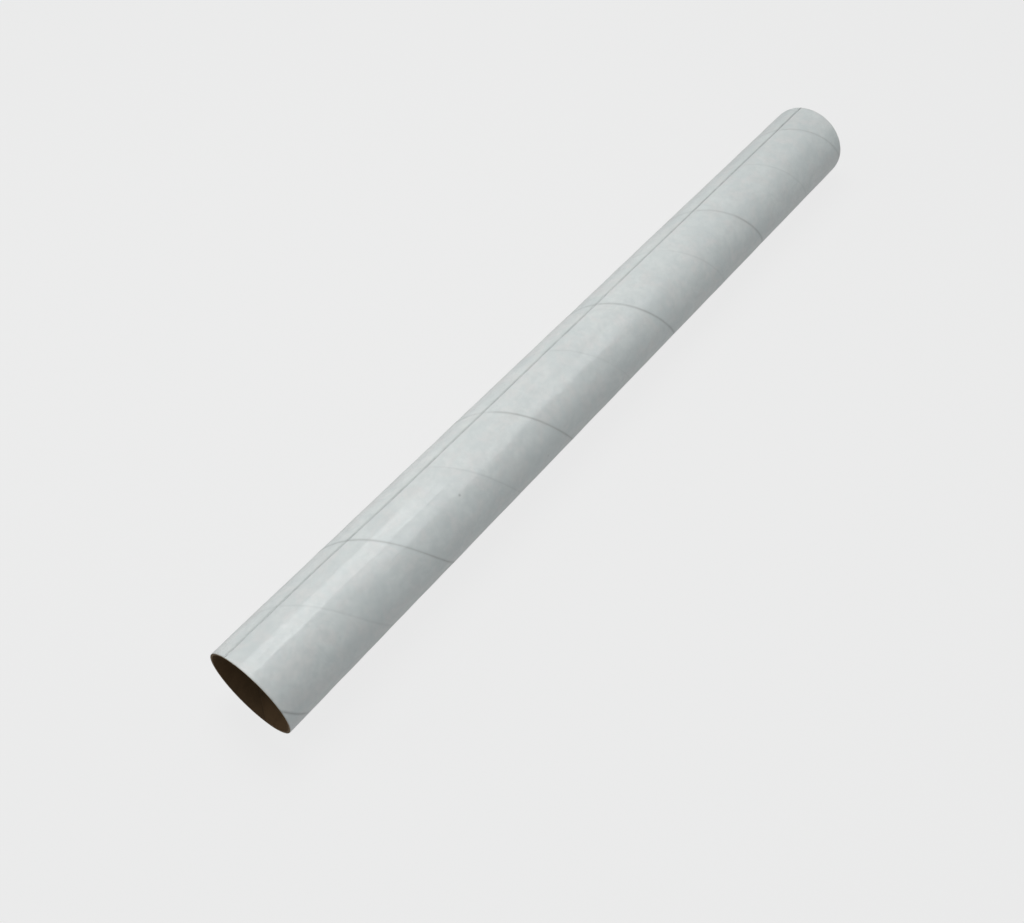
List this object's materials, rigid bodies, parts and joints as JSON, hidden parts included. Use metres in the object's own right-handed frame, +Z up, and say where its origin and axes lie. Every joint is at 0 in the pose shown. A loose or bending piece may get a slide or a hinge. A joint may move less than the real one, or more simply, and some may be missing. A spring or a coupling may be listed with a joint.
{
  "type": "drawing tube",
  "caption": "Long round spiral-wound board tube with a white, film-wrapped face, open at both ends, that keeps rolled drawings flat and dry.",
  "frame": {"origin": "on the floor line under the middle of the tube as it lies on its side", "axes": "+X runs along the tube from the end shown open in front to the far end, +Z is up, +Y is the side away from the viewer"},
  "size_m": [0.63, 0.063, 0.063],
  "materials": {
    "clear_film": "gloss",
    "white_face": "satin",
    "core_board_outer": "matte",
    "core_board_middle": "matte",
    "core_board_inner": "matte",
    "kraft_liner": "matte"
  },
  "bodies": {
    "root": {"clear_film_wrap": "clear_film", "white_face_ply": "white_face", "core_ply_outer": "core_board_outer", "core_ply_middle": "core_board_middle", "core_ply_inner": "core_board_inner", "kraft_liner_ply": "kraft_liner"}
  },
  "joints": []
}
